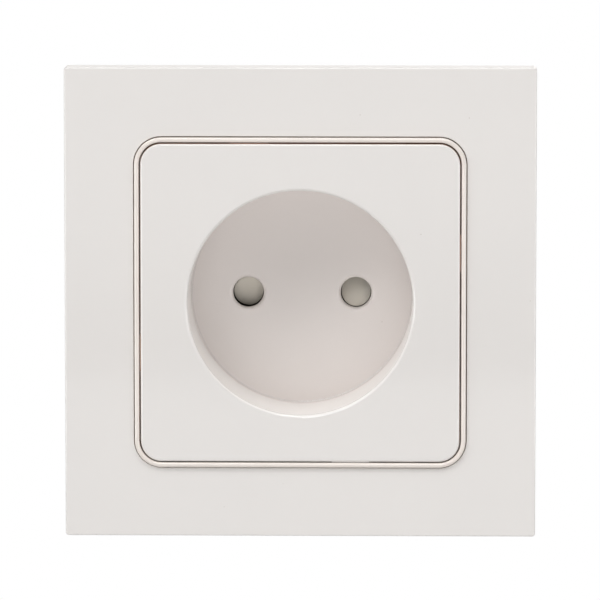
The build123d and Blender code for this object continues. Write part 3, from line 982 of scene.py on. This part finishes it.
def hang(lamp: bpy.types.Light, place: Vector, outward: Vector) -> bpy.types.Object:
    """Hang a lamp in the studio.

    Args:
        lamp: The lamp.
        place: Where it hangs, in metres.
        outward: Direction of its back.

    Returns:
        The object that carries the lamp.
    """
    hung = bpy.data.objects.new(lamp.name, lamp)
    bpy.context.scene.collection.objects.link(hung)
    hung.location = place
    hung.rotation_mode = "QUATERNION"
    hung.rotation_quaternion = outward.to_track_quat("Z", "Y")
    return hung


@dataclass
class Softbox:
    """A square lamp that faces the socket, and that gloss shows only where it is mirrored."""

    name: str
    azimuth: float
    elevation: float
    distance: float
    size: float
    power: float
    mirrored: bool = True

    def add(self) -> None:
        """Hang the lamp and turn it to the socket."""
        lamp = bpy.data.lights.new(self.name, "AREA")
        lamp.shape = "SQUARE"
        lamp.size = self.size
        lamp.energy = self.power
        outward = direction(self.azimuth, self.elevation)
        hang(lamp, outward * self.distance, outward).visible_glossy = self.mirrored


@dataclass
class GlintCard:
    """A bright card that lights no surface, and is mirrored in the polished edges of the covers."""

    name: str
    place: Triple
    facing: Triple
    width: float
    height: float
    brightness: float

    def add(self, mirrors: bpy.types.Collection) -> None:
        """Hang the card where only mirrored rays meet it.

        Args:
            mirrors: The pieces that mirror it.
        """
        lamp = bpy.data.lights.new(self.name, "AREA")
        lamp.shape = "RECTANGLE"
        lamp.size = self.width
        lamp.size_y = self.height
        lamp.energy = self.brightness * math.pi * self.width * self.height
        hung = hang(lamp, Vector(self.place), -Vector(self.facing))
        hung.visible_diffuse = False
        hung.light_linking.receiver_collection = mirrors


@dataclass
class Flag:
    """Grey net on the floor in front of the socket, which the polished faces mirror."""

    distance: float = 0.58
    width: float = 1.2
    height: float = 55 * MM
    tone: Colour = (0.12, 0.115, 0.11)
    weave_size: float = 6 * MM
    weave_stretch: Triple = (1.0, 1.0, 0.2)
    weave_share: float = 0.8

    def build(self, shape: bmesh.types.BMesh) -> None:
        """One upright sheet."""
        half = self.width / 2
        corners = ((-half, 0.0), (half, 0.0), (half, self.height), (-half, self.height))
        shape.faces.new([shape.verts.new((x, 0.0, z)) for x, z in corners])

    def material(self) -> bpy.types.Material:
        """Grey at its foot, thinning out to nothing at its top."""
        material, shader = new_material("studio_flag")
        weave = shader.noise(self.weave_size, stretch=self.weave_stretch)
        grey = shader.node("ShaderNodeBsdfDiffuse", {}, {
            "Color": shader.mix(weave, rgba(self.tone), rgba(self.tone, self.weave_share))})
        clear = shader.node("ShaderNodeBsdfTransparent")
        _, _, up = shader.coordinates()
        net = shader.node("ShaderNodeMixShader", {}, {
            "Fac": up.rise(0.0, self.height), 1: grey.outputs[0], 2: clear.outputs[0]})
        shader.surface(net.outputs[0])
        return material

    def add(self, floor_level: float) -> None:
        """Stand the net on the floor, where only mirrored rays meet it.

        Args:
            floor_level: Height of the floor in metres.
        """
        flag = new_piece("studio_flag", self.build)
        flag.location = (0.0, -self.distance, floor_level)
        flag.data.materials.append(self.material())
        flag.visible_camera = False
        flag.visible_diffuse = False
        flag.visible_shadow = False


@dataclass
class Studio:
    """White studio round the socket: floor, lamps and sky."""

    floor_drop: float = 45 * MM
    floor_half: float = 1.5
    floor_tone: Colour = (0.80, 0.80, 0.80)
    floor_clouds: float = 40 * MM
    cloud_share: float = 0.985
    shade_inner: float = 0.09
    shade_outer: float = 0.17
    back_near: float = 0.02
    back_far: float = 0.25
    back_tone: Colour = (0.40, 0.40, 0.40)
    ambient: Colour = (0.10, 0.10, 0.10)
    lamps: tuple[Softbox, ...] = (
        Softbox("left_softbox", -30.0, 50.0, 1.8, 0.9, 10.1),
        Softbox("right_softbox", 30.0, 50.0, 1.8, 0.9, 3.45),
        Softbox("high_right_softbox", 30.0, 65.0, 1.8, 0.9, 5.05),
        Softbox("left_side_softbox", -60.0, 30.0, 1.8, 0.9, 7.8, mirrored=False),
        Softbox("right_side_softbox", 60.0, 30.0, 1.8, 0.9, 4.5, mirrored=False),
        Softbox("front_table_light", 0.0, -20.0, 1.8, 0.9, 4.25, mirrored=False),
        Softbox("left_table_light", -40.0, -20.0, 1.8, 0.9, 1.05, mirrored=False),
        Softbox("deep_table_light", 0.0, -65.0, 1.8, 0.9, 1.3, mirrored=False),
        Softbox("back_softbox", 150.0, 35.0, 1.0, 0.6, 4.0),
    )
    cards: tuple[GlintCard, ...] = (
        GlintCard("left_card", (-0.28, -0.28, -0.033), (1.0, 1.0, 0.0), 0.56, 0.106, 3.0),
        GlintCard("right_card", (0.28, -0.28, -0.033), (-1.0, 1.0, 0.0), 0.56, 0.106, 3.0),
        GlintCard("top_card", (0.0, -0.57, 0.57), (0.0, 1.0, -1.0), 0.22, 0.80, 4.0),
    )

    def floor_material(self) -> bpy.types.Material:
        """Pale one-sided floor that takes the shadow near the socket and fades to white further off.

        Returns:
            A material that is clear from below, and that metal behind the frame mirrors as a dim floor.
        """
        material, shader = new_material("studio_floor")
        clouds = shader.noise(self.floor_clouds)
        tone = shader.mix(clouds, rgba(self.floor_tone), rgba(self.floor_tone, self.cloud_share))
        matt = shader.node("ShaderNodeBsdfDiffuse", {}, {"Color": tone})
        _, behind, _ = shader.coordinates()
        mirrored = Value(shader, shader.node("ShaderNodeLightPath").outputs[RayKind.GLOSSY.value])
        dim = mirrored * behind.rise(self.back_near, self.back_far)
        white = shader.node("ShaderNodeEmission", {}, {
            "Color": shader.mix(dim, WHITE, rgba(self.back_tone)), "Strength": 1.0})
        far = shader.distance().rise(self.shade_inner, self.shade_outer)
        both = shader.node("ShaderNodeMixShader", {}, {
            "Fac": far * seen_as_backdrop(shader), 1: matt.outputs[0], 2: white.outputs[0]})
        below = shader.node("ShaderNodeNewGeometry").outputs["Backfacing"]
        clear = shader.node("ShaderNodeBsdfTransparent")
        sheet = shader.node("ShaderNodeMixShader", {}, {
            "Fac": below, 1: both.outputs[0], 2: clear.outputs[0]})
        shader.surface(sheet.outputs[0])
        return material

    def add_floor(self) -> None:
        """Lay the floor below the socket, as a table that lets the light under it through."""
        level = CAD_BOX[0].z - self.floor_drop
        floor = new_piece("studio_floor", self.build_floor)
        floor.location = (0.0, 0.0, level)
        floor.data.materials.append(self.floor_material())
        floor.visible_shadow = False
        Flag().add(level)

    def build_floor(self, shape: bmesh.types.BMesh) -> None:
        """One square sheet."""
        half = self.floor_half
        corners = ((-half, -half), (half, -half), (half, half), (-half, half))
        shape.faces.new([shape.verts.new((x, y, 0.0)) for x, y in corners])

    def add_sky(self) -> None:
        """White to the eye, and a soft even light on the socket."""
        world = bpy.data.worlds.new("studio_sky")
        bpy.context.scene.world = world
        world.use_nodes = True
        shader = Shader(world.node_tree)
        tone = shader.mix(seen_as_backdrop(shader), rgba(self.ambient), WHITE)
        sky = shader.node("ShaderNodeBackground", {}, {"Color": tone, "Strength": 1.0})
        shader.surface(sky.outputs[0], "ShaderNodeOutputWorld")

    def build(self) -> None:
        """Lay the floor, hang the lamps and the cards and set the sky."""
        self.add_floor()
        for lamp in self.lamps:
            lamp.add()
        mirrors = bpy.data.collections.new("polished_covers")
        for node in COVERS:
            mirrors.objects.link(frame["nodes"][node])
        for card in self.cards:
            card.add(mirrors)
        self.add_sky()
        log.info("studio: floor, sky, %d lamps and %d cards", len(self.lamps), len(self.cards))


@dataclass
class PhotoCamera:
    """Camera at the photograph's viewing angle."""

    azimuth: float = 1.25
    elevation: float = 6.5
    distance: float = 1.000
    view_width: float = 104.15 * MM
    aim: Triple = (-0.01 * MM, -9.2 * MM, 0.59 * MM)
    sensor: float = 36.0
    nearest: float = 0.01
    farthest: float = 20.0

    def add(self) -> None:
        """Make the camera and give it to the scene."""
        lens = bpy.data.cameras.new("photo_camera")
        lens.sensor_width = self.sensor
        lens.lens = self.sensor * self.distance / self.view_width
        lens.clip_start = self.nearest
        lens.clip_end = self.farthest
        camera = bpy.data.objects.new("photo_camera", lens)
        bpy.context.scene.collection.objects.link(camera)
        back = direction(self.azimuth, self.elevation)
        camera.location = Vector(self.aim) + back * self.distance
        camera.rotation_mode = "QUATERNION"
        camera.rotation_quaternion = back.to_track_quat("Z", "Y")
        bpy.context.scene.camera = camera
        bpy.context.scene.view_settings.view_transform = "Standard"


def main() -> None:
    """Dress every sub-assembly and set the studio round it."""
    logging.basicConfig(level=logging.INFO, format="%(name)s: %(message)s")
    finishes = Finishes()
    for assembly in (CoverSet, ShutterUnit, ContactBody, Terminals, SupportAndClaws):
        assembly(finishes).dress()
    Studio().build()
    PhotoCamera().add()


if __name__ == "__main__":
    main()
